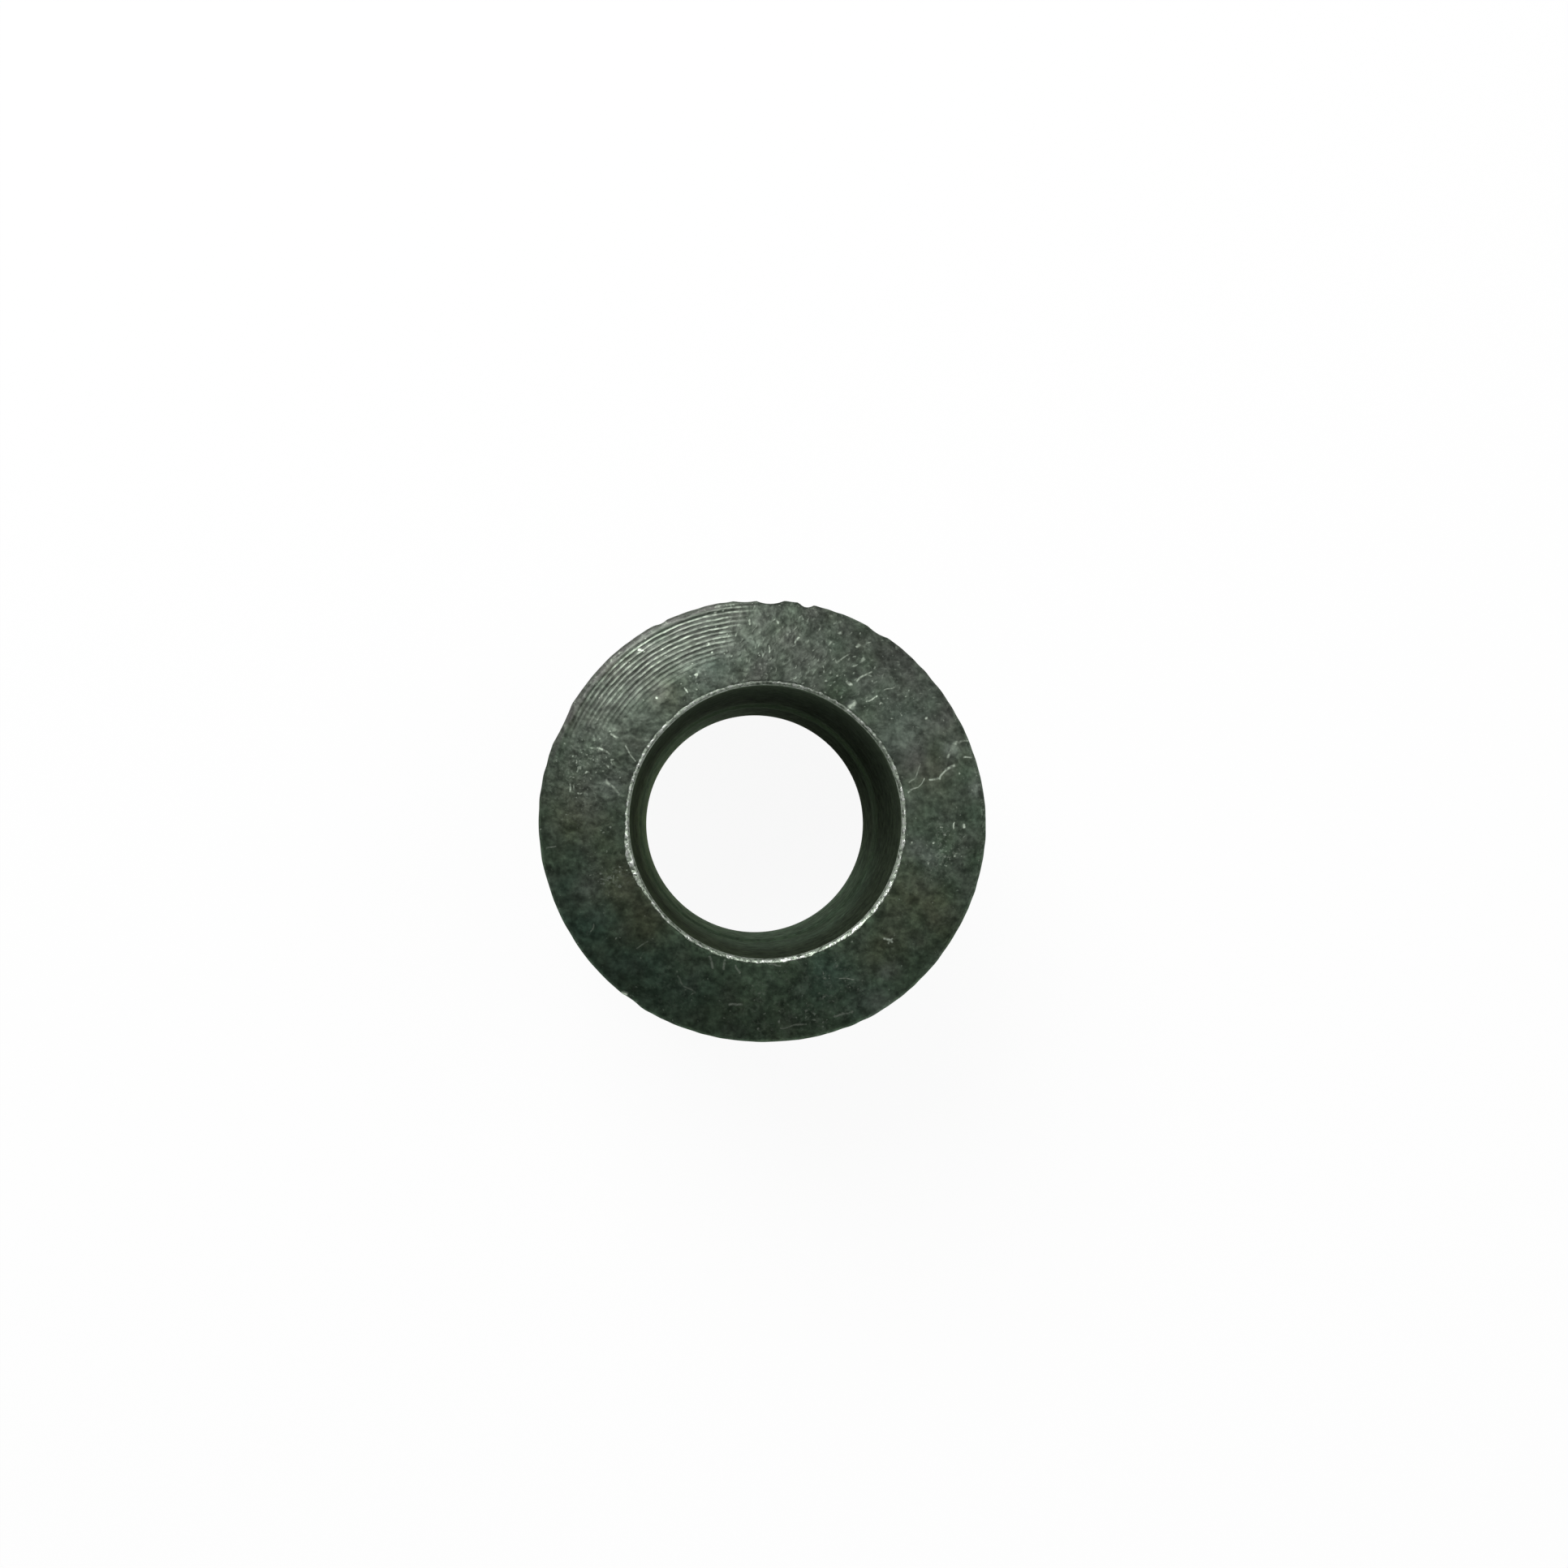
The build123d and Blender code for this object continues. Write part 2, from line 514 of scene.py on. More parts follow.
def crown_height(radius):
    """Height of the crown at a radius from the body's axis: an arc through its inner and outer edge.

    The arc of radius CROWN_RADIUS passes through (RELIEVED_RADIUS, HEIGHT) and
    (OUTER_RADIUS, HEIGHT - CROWN_DROP). Its centre lies below the middle of that chord.
    """
    width = OUTER_RADIUS - RELIEVED_RADIUS
    chord = math.hypot(width, CROWN_DROP)
    depth = math.sqrt(CROWN_RADIUS**2 - chord**2 / 4)
    centre_r = (RELIEVED_RADIUS + OUTER_RADIUS) / 2 - depth * CROWN_DROP / chord
    centre_z = HEIGHT - CROWN_DROP / 2 - depth * width / chord
    return centre_z + np.sqrt(CROWN_RADIUS**2 - (radius - centre_r) ** 2)


def rounded_corner(before, corner, after, reach, steps):
    """A parabola from reach before the corner to reach after it: (1-t)^2 A + 2t(1-t) P + t^2 B."""
    before, corner, after = (np.array(point, float) for point in (before, corner, after))
    start = corner + (before - corner) / np.linalg.norm(before - corner) * reach
    end = corner + (after - corner) / np.linalg.norm(after - corner) * reach
    t = np.linspace(0, 1, steps + 1)[:, None]
    return (1 - t) ** 2 * start + 2 * t * (1 - t) * corner + t**2 * end


def straight_run(start, end, steps):
    """Points strictly between two ends, evenly spaced."""
    t = np.linspace(0, 1, steps + 1)[1:-1, None]
    return np.array(start) * (1 - t) + np.array(end) * t


def nut_profile():
    """The closed section of the nut as radius and height, and the name of the zone of each point.

    It runs outwards over the foot, up the wall, inwards over the crown and down the bore, so that
    the turned surface faces outwards. Straight runs are joined by rounded corners. The mouth of the
    bore is a worn slope WORN_MOUTH_WIDTH wide and WORN_MOUTH_DEPTH deep.
    """
    foot_inner = (BORE_RADIUS + FOOT_MOUTH_CHAMFER, 0.0)
    foot_outer = (OUTER_RADIUS - FOOT_CHAMFER, 0.0)
    wall_foot = (OUTER_RADIUS, FOOT_CHAMFER)
    wall_top = (OUTER_RADIUS, HEIGHT - CROWN_DROP)
    worn_radius = RELIEVED_RADIUS + WORN_MOUTH_WIDTH
    mouth_top = (worn_radius, float(crown_height(worn_radius)))
    mouth_low = (RELIEVED_RADIUS, HEIGHT - WORN_MOUTH_DEPTH)
    lip_end = (RELIEVED_RADIUS, HEIGHT - LIP_DEPTH)
    shoulder_top = (RELIEVED_RADIUS, SHOULDER_TOP)
    shoulder_low = (BORE_RADIUS, SHOULDER_LOW)
    bore_foot = (BORE_RADIUS, FOOT_MOUTH_CHAMFER)
    crown_in = (worn_radius + 1, float(crown_height(worn_radius + 1)))
    crown_out = (OUTER_RADIUS - 1, float(crown_height(OUTER_RADIUS - 1)))

    corner_foot_inner = rounded_corner(bore_foot, foot_inner, foot_outer, FOOT_MOUTH_REACH, 2)
    corner_foot_outer = rounded_corner(foot_inner, foot_outer, wall_foot, FOOT_EDGE_REACH, 3)
    corner_wall_foot = rounded_corner(foot_outer, wall_foot, wall_top, FOOT_EDGE_REACH, 3)
    corner_crown = rounded_corner(wall_foot, wall_top, crown_out, CROWN_EDGE_REACH, 7)
    corner_mouth = rounded_corner(crown_in, mouth_top, mouth_low, MOUTH_REACH, 5)
    corner_mouth_low = rounded_corner(mouth_top, mouth_low, shoulder_top, MOUTH_LOW_REACH, 3)
    corner_shoulder = rounded_corner(mouth_low, shoulder_top, shoulder_low, SHOULDER_REACH, 2)
    corner_shoulder_low = rounded_corner(shoulder_top, shoulder_low, bore_foot, SHOULDER_REACH, 2)
    corner_bore_foot = rounded_corner(shoulder_low, bore_foot, foot_inner, BORE_FOOT_REACH, 2)

    # The crown's outer part, which holds the turning marks, has finer rings than its inner part
    fine = np.linspace(corner_crown[-1][0], MARKS_INNER_RADIUS, 69)[1:]
    coarse = np.linspace(MARKS_INNER_RADIUS, corner_mouth[0][0], 14)[1:-1]
    crown_radii = np.concatenate([fine, coarse])
    crown_run = np.column_stack([crown_radii, crown_height(crown_radii)])

    pieces = [
        ("foot", corner_foot_inner),
        ("foot", straight_run(corner_foot_inner[-1], corner_foot_outer[0], 4)),
        ("foot", corner_foot_outer),
        ("foot", straight_run(corner_foot_outer[-1], corner_wall_foot[0], 2)),
        ("wall", corner_wall_foot),
        ("wall", straight_run(corner_wall_foot[-1], corner_crown[0], 18)),
        ("edge", corner_crown),
        ("crown", crown_run),
        ("mouth", corner_mouth),
        ("mouth", straight_run(corner_mouth[-1], corner_mouth_low[0], 2)),
        ("mouth", corner_mouth_low),
        ("bore", straight_run(corner_mouth_low[-1], lip_end, 8)),
        ("bore", np.array([lip_end])),
        ("bore", straight_run(lip_end, corner_shoulder[0], 9)),
        ("bore", corner_shoulder),
        ("bore", corner_shoulder_low),
        ("bore", straight_run(corner_shoulder_low[-1], corner_bore_foot[0], 6)),
        ("bore", corner_bore_foot),
        ("bore", straight_run(corner_bore_foot[-1], corner_foot_inner[0], 2)),
    ]
    points = np.concatenate([piece for _, piece in pieces])
    zones = np.concatenate([np.full(len(piece), name) for name, piece in pieces])
    return points[:, 0], points[:, 1], zones


def profile_normals(radius, height):
    """Unit normals of a closed section, from the difference of each point's two neighbours."""
    along_r = np.roll(radius, -1) - np.roll(radius, 1)
    along_z = np.roll(height, -1) - np.roll(height, 1)
    length = np.hypot(along_r, along_z)
    return along_z / length, -along_r / length


def knock_limit(bearing, height):
    """The radius that each knock leaves of the wall, the least of them at each point.

    A knock is a hollow of radius r that is depth deep at the crown's edge and runs out below it:
    the wall may stand no further out than OUTER_RADIUS - depth(z) + arc^2 / 2r.
    """
    edge_height = HEIGHT - CROWN_DROP
    limit = np.full(np.broadcast(bearing, height).shape, np.inf)
    for knock_bearing, half_width, depth in EDGE_KNOCKS:
        hollow = half_width**2 / (2 * (depth - half_width**2 / (2 * OUTER_RADIUS)))
        turn = (bearing - math.radians(knock_bearing) + math.pi) % (2 * math.pi) - math.pi
        arc = turn * OUTER_RADIUS
        depth_here = depth + (height - edge_height) / KNOCK_RUNOUT
        limit = np.minimum(limit, OUTER_RADIUS - depth_here + arc**2 / (2 * hollow))
    return limit


def turning_marks(x, y, degrees):
    """Turning marks on the crown: their phase, whole at each ridge, and how strongly they show.

    The phase is the distance from the cut's own centre over its pitch. The outer rings show over
    a longer arc than the inner ones, and each fades at both ends.
    """
    rho = np.hypot(x - CUT_CENTRE[0], y - CUT_CENTRE[1])
    phase = (rho - CUT_FIRST_RADIUS) / CUT_PITCH
    inwards = CUT_LAST_RADIUS - rho
    first = MARKS_START + MARKS_LATER * inwards
    last = MARKS_END - MARKS_SOONER * inwards
    shown = between(degrees, first, first + MARKS_RISE, last - MARKS_FADE, last)
    shown *= smooth_step(rho, CUT_FIRST_RADIUS - 0.6, CUT_FIRST_RADIUS + 1.8)
    shown *= 1 - smooth_step(rho, CUT_LAST_RADIUS - 0.1, CUT_LAST_RADIUS + 0.1)
    return phase, shown


def burnished_band(degrees, radius):
    """Masks of the burnished band at the crown's outer edge, partly a painted sheen, and of the dark line
    inside it.
    """
    from_wall = radius - OUTER_RADIUS
    here = between(degrees, *BAND_BEARINGS)
    band = here * smooth_step(from_wall, -BAND_START, -BAND_FULL)
    dark_line = here * between(from_wall, -DARK_LINE_START, -BAND_START, -BAND_FULL, -DARK_LINE_END)
    return band, dark_line


def mouth_shift(degrees, radius, height):
    """How far the worn mouth moves outwards, and the part of it that is out of round.

    The mouth is out of round and in places worn wider. Both fade out onto the crown and down the
    bore.
    """
    out_of_round = by_bearing(degrees, MOUTH_SHAPE, 1)
    wider = by_bearing(degrees, MOUTH_SHAPE, 2)
    wider = wider * smooth_step(radius, RELIEVED_RADIUS, RELIEVED_RADIUS + WORN_MOUTH_WIDTH)
    near_bore = 1 - smooth_step(radius, MOUTH_RADIUS + 0.1, MOUTH_RADIUS + 1.2)
    near_top = smooth_step(height, HEIGHT - OUT_OF_ROUND_DEPTH, HEIGHT - 0.3)
    return (out_of_round + wider) * near_bore * near_top, out_of_round


def bore_values(degrees, z, in_bore):
    """Values for the bore's finish: how rubbed and painted light it is, how bare and painted light its
    shoulder and lip, its olive lean.
    """
    depth = HEIGHT - z
    # The rubbed share rises with depth and paints the bore lighter towards the foot, as light from the floor
    sets_in = by_bearing(degrees, BORE_WEAR_AND_LIGHT, 2)
    rubbed = smooth_step(depth, sets_in, sets_in + BORE_WEAR_AND_LIGHT_RUN)
    # Painted highlight on the shoulder, and painted light on the wall below the lip and on the lip
    on_shoulder = between(
        z, SHOULDER_LOW - 0.10, SHOULDER_LOW - 0.02, SHOULDER_TOP + 0.02, SHOULDER_TOP + 0.10
    )
    below_lip = by_bearing(degrees, BORE_WEAR_AND_LIGHT, 4) * (1 - smooth_step(depth, 4.0, 14.0))
    on_lip = by_bearing(degrees, BORE_WEAR_AND_LIGHT, 5) * (1 - smooth_step(depth, 0.4, 1.6))
    return {
        "bore_wear": BORE_WEAR_AND_LIGHT_ABOVE + (by_bearing(degrees, BORE_WEAR_AND_LIGHT) - BORE_WEAR_AND_LIGHT_ABOVE) * rubbed,
        "olive": by_bearing(degrees, OLIVE_SHARE) * in_bore,
        "ledge": on_shoulder * in_bore * by_bearing(degrees, BORE_WEAR_AND_LIGHT, 3),
        "lip": below_lip + on_lip,
    }


def oxide_values(degrees, x, y, places):
    """Values for the oxide's colour: its lean to four other tints, its rubbed specks and its tone."""
    tint = 0.5 * ripple(places, 3.1, 21)
    fine_tint = 0.5 * ripple(places, 1.1, 22)
    neutral = by_bearing(degrees, NEUTRAL_SHARE) + 0.4 * patches(x, y, NEUTRAL_PATCHES)
    neutral = neutral + 0.06 * ripple(places, 2.2, 23)
    cool = 0.60 * patches(x, y, COOL_PATCHES) + 0.07 * tint + 0.08 * fine_tint
    brown = 0.50 * patches(x, y, BROWN_PATCHES) - 0.07 * tint + 0.08 * fine_tint
    return {
        "neutral": np.clip(neutral, 0, 1),
        "cool": np.clip(cool, 0, 1),
        "brown": np.clip(brown, 0, 1),
        "pale": np.clip(patches(x, y, PALE_PATCHES), 0, 1),
        "speckled": np.clip(patches(x, y, SPECKLED_PATCHES), 0, 1),
        "tone": 1 + patches(x, y, TONE_PATCHES),
    }


def nut_surface():
    """The nut's surface: its section turned about the bore's axis, with its skin, marks and knocks.

    The centre of each ring slides from the bore's axis to the body's axis as the section goes
    from the bore to the wall. Radii and heights then shift along the section's normal. It comes
    with the values that the finishes read at each point, and the zone of each ring.
    """
    radius, height, zones = nut_profile()
    normal_r, normal_z = profile_normals(radius, height)
    bearing = np.arange(COLUMNS) * (2 * math.pi / COLUMNS)
    theta, r = np.meshgrid(bearing, radius, indexing="ij")
    degrees = np.degrees(theta)
    z = np.broadcast_to(height, r.shape).copy()
    towards_wall = smooth_step(radius, MOUTH_RADIUS, OUTER_RADIUS)
    for count, lobe_height, first in LOBES:
        r = r + lobe_height * np.cos(count * (theta - math.radians(first))) * towards_wall

    zone = {name: (zones == name).astype(float) for name in ("wall", "edge", "crown", "mouth", "bore")}
    places = np.stack([r * np.cos(theta), r * np.sin(theta), z], axis=-1)
    phase, shown = turning_marks(places[..., 0], places[..., 1], degrees)
    band, dark_line = burnished_band(degrees, r)
    shown = shown * (zone["crown"] + 0.6 * zone["edge"]) * (1 - 0.6 * band)
    pebbled = between(degrees, *PEBBLED_BEARINGS) * zone["crown"]
    streaked = between(degrees, *STREAKED_BEARINGS) * smooth_step(r, 11.3, 12.6)

    # Shift of the surface: outwards about the mouth, then along the section's normal
    outwards, out_of_round = mouth_shift(degrees, radius, height)
    has_skin = zone["wall"] + zone["edge"] + zone["crown"]
    marks = MESHED_SHARE * CUT_DEPTH * smooth_step(np.sin(math.pi * phase) ** 2, 0.15, 1.0) * shown
    shift = ripples(places, SKIN_RIPPLES) * has_skin * (1 - 0.6 * shown) - marks
    shift = shift + (ripples(places, MOUTH_RIPPLES) - MOUTH_WORN_AWAY) * zone["mouth"]
    shift = shift + ripples(places, EDGE_RIPPLES) * zone["edge"]
    r = r + outwards + shift * normal_r
    z = z + shift * normal_z

    inside = zone["bore"] + zone["mouth"] > 0
    r = np.where(inside, r, np.minimum(r, knock_limit(theta, z)))
    x = r * np.cos(theta) + BODY_AXIS[0] * towards_wall
    y = r * np.sin(theta) + BODY_AXIS[1] * towards_wall

    values = {
        "turn_phase": phase,
        "turned": shown,
        "burnished": np.clip(band - 0.6 * dark_line + 0.5 * shown, 0, 1),
        "streaked": streaked,
        "pebbled": pebbled,
        "mouth_out": out_of_round,
        "mouth_reach": by_bearing(degrees, MOUTH_WEAR_AND_HIGHLIGHT, 1),
        "mouth_wear": by_bearing(degrees, MOUTH_WEAR_AND_HIGHLIGHT, 2),
        "edge_wear": by_bearing(degrees, EDGE_WEAR) * zone["edge"],
    }
    values.update(bore_values(degrees, z, zone["bore"]))
    values.update(oxide_values(degrees, x, y, places))
    values["tone"] = values["tone"] - 0.30 * dark_line
    return np.stack([x, y, z], axis=-1) * MM, values, zones


def closed_grid_mesh(name, places):
    """A mesh from a grid that closes on itself both ways: each cell of the grid is one quad."""
    columns, rows = places.shape[:2]
    column, row = np.meshgrid(np.arange(columns), np.arange(rows), indexing="ij")
    next_column = (column + 1) % columns
    next_row = (row + 1) % rows
    corners = [(column, row), (next_column, row), (next_column, next_row), (column, next_row)]
    quads = np.stack([at_column * rows + at_row for at_column, at_row in corners], axis=-1)
    quads = quads.reshape(-1, 4).astype(np.int32)
    mesh = bpy.data.meshes.new(name)
    mesh.vertices.add(columns * rows)
    mesh.vertices.foreach_set("co", places.reshape(-1).astype(np.float32))
    mesh.loops.add(quads.size)
    mesh.loops.foreach_set("vertex_index", quads.reshape(-1))
    mesh.polygons.add(len(quads))
    mesh.polygons.foreach_set("loop_start", np.arange(0, quads.size, 4, dtype=np.int32))
    mesh.update(calc_edges=True)
    mesh.polygons.foreach_set("use_smooth", np.ones(len(quads), dtype=bool))
    return mesh


def make_nut():
    """The blackened nut, as one closed mesh in three finishes: crown, wall with foot, and bore."""
    places, finish_values, zones = nut_surface()
    mesh = closed_grid_mesh("blackened_nut", places)
    for name, values in finish_values.items():
        layer = mesh.attributes.new(name, "FLOAT", "POINT")
        layer.data.foreach_set("value", np.ascontiguousarray(values, np.float32).reshape(-1))
    for material in (crown_material(), wall_material(), bore_material()):
        mesh.materials.append(material)
    finish_of_zone = {"crown": 0, "edge": 0, "mouth": 0, "wall": 1, "foot": 1, "bore": 2}
    finish = np.array([finish_of_zone[name] for name in zones], np.int32)
    mesh.polygons.foreach_set("material_index", np.tile(finish, COLUMNS))
    made = bpy.data.objects.new("blackened_nut", mesh)
    bpy.context.scene.collection.objects.link(made)
    return made


class Wiring:
    """Short ways to add nodes to one tree; each returns the new node's output socket."""

    def __init__(self, tree):
        self.tree = tree

    def feed(self, socket, value):
        """Links a socket into another one, or writes a plain value there."""
        if isinstance(value, bpy.types.NodeSocket):
            self.tree.links.new(value, socket)
        else:
            socket.default_value = value

    def node(self, kind, inputs, output=0, **settings):
        made = self.tree.nodes.new(kind)
        for name, value in settings.items():
            setattr(made, name, value)
        for key, value in inputs.items():
            self.feed(made.inputs[key], value)
        return made.outputs[output]

    def group(self, group, inputs):
        return self.node("ShaderNodeGroup", inputs, node_tree=group)

    def math(self, operation, first, second=0.0, clamp=False):
        return self.node("ShaderNodeMath", {0: first, 1: second}, operation=operation, use_clamp=clamp)

    def folded(self, operation, parts):
        """Any number of parts brought together two at a time by one operation, from the first on."""
        result = parts[0]
        for part in parts[1:]:
            result = self.math(operation, result, part)
        return result

    def times(self, *parts):
        return self.folded("MULTIPLY", parts)

    def sum_of(self, *parts):
        return self.folded("ADD", parts)

    def most(self, *parts):
        return self.folded("MAXIMUM", parts)

    def vector(self, operation, first, second=(0.0, 0.0, 0.0), output=0):
        return self.node("ShaderNodeVectorMath", {0: first, 1: second}, output, operation=operation)

    def scaled(self, first, factor):
        return self.node("ShaderNodeVectorMath", {0: first, "Scale": factor}, operation="SCALE")

    def ramp(self, value, low, high, to_low=0.0, to_high=1.0):
        inputs = {"Value": value, "From Min": low, "From Max": high, "To Min": to_low, "To Max": to_high}
        return self.node("ShaderNodeMapRange", inputs, interpolation_type="SMOOTHSTEP", clamp=False)

    def noise(self, place, scale, detail=2.0, roughness=0.5, distortion=0.0):
        inputs = {"Vector": place, "Scale": scale, "Detail": detail}
        inputs.update({"Roughness": roughness, "Distortion": distortion})
        return self.node("ShaderNodeTexNoise", inputs)

    def mix_colour(self, share, first, second, blend="MIX"):
        inputs = {0: share, 6: first, 7: second}
        return self.node("ShaderNodeMix", inputs, 2, data_type="RGBA", blend_type=blend)

    def attribute(self, name):
        return self.node("ShaderNodeAttribute", {}, 2, attribute_name=name)

    def place_in_millimetres(self):
        place = self.node("ShaderNodeTexCoord", {}, 3)
        return self.vector("MULTIPLY", place, (1 / MM, 1 / MM, 1 / MM))


def new_group(name, inputs, output_name, output_kind="NodeSocketFloat"):
    """An empty shader node group with named inputs and one output: its tree, Wiring and inputs.

    An input that is given a level is a number, and one that is given None is a vector.
    """
    group = bpy.data.node_groups.new(name, "ShaderNodeTree")
    for socket_name, level in inputs.items():
        kind = "NodeSocketVector" if level is None else "NodeSocketFloat"
        socket = group.interface.new_socket(socket_name, in_out="INPUT", socket_type=kind)
        if level is not None:
            socket.default_value = level
    group.interface.new_socket(output_name, in_out="OUTPUT", socket_type=output_kind)
    start = group.nodes.new("NodeGroupInput")
    return group, Wiring(group), start.outputs


def close_group(group, result):
    """Ends a group in its one output."""
    end = group.nodes.new("NodeGroupOutput")
    group.links.new(result, end.inputs[0])
    return group


def oxide_colour_group():
    """Colour of the oxide: a dark green-grey that leans to other tints, with a fine grain.

    Three noises, of about 3, 0.7 and 0.3 mm, lighten and darken it.
    """
    inputs = {"Place": None, "Cool": 0.3, "Brown": 0.3, "Neutral": 0.0, "Pale": 0.0, "Tone": 1.0}
    group, wire, start = new_group("oxide_colour", inputs, "Colour", "NodeSocketColor")
    place = start["Place"]
    broad = wire.noise(place, 0.32, 3.0, 0.55)
    middle = wire.noise(place, 1.3, 3.0, 0.55, 0.2)
    grain = wire.noise(place, 3.2, 1.0, 0.5)
    colour = wire.mix_colour(start["Cool"], OXIDE, COOL_OXIDE)
    colour = wire.mix_colour(start["Brown"], colour, BROWN_OXIDE)
    colour = wire.mix_colour(start["Neutral"], colour, NEUTRAL_OXIDE)
    colour = wire.mix_colour(start["Pale"], colour, PALE_OXIDE)
    shade = wire.times(wire.ramp(broad, 0.3, 0.7, 0.88, 1.12), wire.ramp(middle, 0.28, 0.72, 0.62, 1.42))
    shade = wire.times(shade, wire.ramp(grain, 0.25, 0.75, 0.80, 1.22))
    shade = wire.times(shade, start["Tone"])
    grey = wire.node("ShaderNodeCombineColor", {0: shade, 1: shade, 2: shade})
    return close_group(group, wire.mix_colour(1.0, colour, grey, "MULTIPLY"))


def rubbed_specks_group():
    """Mask of small places where the black is rubbed through: peaks of a fine noise over a level.

    The level falls with the amount, and rises and falls with a coarser noise, so specks cluster.
    """
    inputs = {"Place": None, "Amount": 0.5, "Size": 0.12}
    group, wire, start = new_group("rubbed_specks", inputs, "Mask")
    place = start["Place"]
    fine = wire.noise(place, wire.math("DIVIDE", 0.5, start["Size"]), 1.0, 0.5)
    coarse = wire.noise(place, 0.9, 2.0, 0.5)
    level = wire.math("SUBTRACT", 0.86, wire.times(start["Amount"], 0.22))
    level = wire.math("SUBTRACT", level, wire.times(wire.math("SUBTRACT", coarse, 0.5), 0.35))
    over = wire.math("DIVIDE", wire.math("SUBTRACT", fine, level), 0.08, clamp=True)
    return close_group(group, over)


def skin_height_group():
    """Height of the fine skin in millimetres: broad, middle and fine pitting, each with its height."""
    inputs = {"Place": None, "Broad": 0.04, "Middle": 0.03, "Fine": 0.006}
    group, wire, start = new_group("skin_height", inputs, "Height")
    broad = wire.times(wire.noise(start["Place"], 0.9, 2.0, 0.5, 0.3), start["Broad"])
    middle = wire.times(wire.noise(start["Place"], 2.0, 1.5, 0.5, 0.2), start["Middle"])
    fine = wire.times(wire.noise(start["Place"], 6.0, 1.0, 0.6), start["Fine"])
    return close_group(group, wire.sum_of(broad, middle, fine))


def polar_place_group():
    """A place read as the arc at mid crown and the radius, both about the turning marks' centre.

    The seam of the arc lies at 180 degrees.
    """
    group, wire, start = new_group("polar_place", {"Place": None}, "Place", "NodeSocketVector")
    centre = (float(CUT_CENTRE[0]), float(CUT_CENTRE[1]), 0.0)
    from_centre = wire.vector("SUBTRACT", start["Place"], centre)
    flat = wire.vector("MULTIPLY", from_centre, (1.0, 1.0, 0.0))
    apart = wire.tree.nodes.new("ShaderNodeSeparateXYZ")
    wire.tree.links.new(flat, apart.inputs[0])
    arc = wire.times(wire.math("ARCTAN2", apart.outputs[1], apart.outputs[0]), 13.0)
    radius = wire.vector("LENGTH", flat, output=1)
    return close_group(group, wire.node("ShaderNodeCombineXYZ", {0: arc, 1: radius}))


def drawn_noise_group():
    """Noise drawn out along the arc or the radius of a polar place, by how often it repeats on each.

    The lean is how far its lines run clockwise for each millimetre that they run outwards.
    """
    inputs = {"Polar": None, "Per Millimetre": None, "Lean": 0.0}
    group, wire, start = new_group("drawn_noise", inputs, "Height")
    apart = wire.tree.nodes.new("ShaderNodeSeparateXYZ")
    wire.tree.links.new(start["Polar"], apart.inputs[0])
    leant = wire.sum_of(apart.outputs[0], wire.times(apart.outputs[1], start["Lean"]))
    leant = wire.node("ShaderNodeCombineXYZ", {0: leant, 1: apart.outputs[1]})
    drawn = wire.vector("MULTIPLY", leant, start["Per Millimetre"])
    return close_group(group, wire.noise(drawn, 1.0, 1.0, 0.5, 0.4))


def hairlines_group():
    """Mask of thin curved lines: where a bent noise crosses its middle, broken by a second noise."""
    group, wire, start = new_group("hairlines", {"Place": None, "Per Millimetre": 0.8}, "Mask")
    bent = wire.noise(start["Place"], start["Per Millimetre"], 1.0, 0.5, 0.5)
    off_middle = wire.math("ABSOLUTE", wire.math("SUBTRACT", bent, 0.5))
    line = wire.ramp(off_middle, 0.022, 0.0)
    kept = wire.ramp(wire.noise(start["Place"], 1.6, 3.0, 0.6), 0.50, 0.64)
    return close_group(group, wire.times(line, kept))


def stroke_group():
    """Mask of one scratch or speck: its strength on its line, falling to 0 one width away from it.

    The distance is taken to the nearest point of the line, at clamp(p.a / a.a) of its run a. The
    greater of this mask and the one before it comes out, so strokes are strung in a row.
    """
    inputs = {"Before": 0.0, "Place": None, "Start": None, "Run": None, "Width": 0.1, "Strength": 1.0}
    group, wire, start = new_group("stroke", inputs, "Mask")
    from_start = wire.vector("SUBTRACT", start["Place"], start["Start"])
    along = wire.vector("DOT_PRODUCT", from_start, start["Run"], output=1)
    whole = wire.vector("DOT_PRODUCT", start["Run"], start["Run"], output=1)
    share = wire.most(wire.math("MINIMUM", wire.math("DIVIDE", along, whole), 1.0), 0.0)
    nearest = wire.scaled(start["Run"], share)
    away = wire.vector("LENGTH", wire.vector("SUBTRACT", from_start, nearest), output=1)
    mask = wire.ramp(away, start["Width"], 0.0, 0.0, start["Strength"])
    return close_group(group, wire.most(start["Before"], mask))


def new_material(name):
    """A material with a bare Principled BSDF, and its Wiring and shader."""
    material = bpy.data.materials.new(name)
    material.use_nodes = True
    return material, Wiring(material.node_tree), material.node_tree.nodes["Principled BSDF"]


def finish_shader(wire, shader, colour, metal, rough, height, sheen):
    """Feeds a shader its colour, share of metal and roughness, its relief in millimetres and sheen."""
    wire.feed(shader.inputs["Base Color"], colour)
    wire.feed(shader.inputs["Metallic"], metal)
    wire.feed(shader.inputs["Roughness"], rough)
    bump = wire.node("ShaderNodeBump", {"Strength": 1.0, "Distance": MM, "Height": height})
    wire.feed(shader.inputs["Normal"], bump)
    shader.inputs["Specular Tint"].default_value = sheen


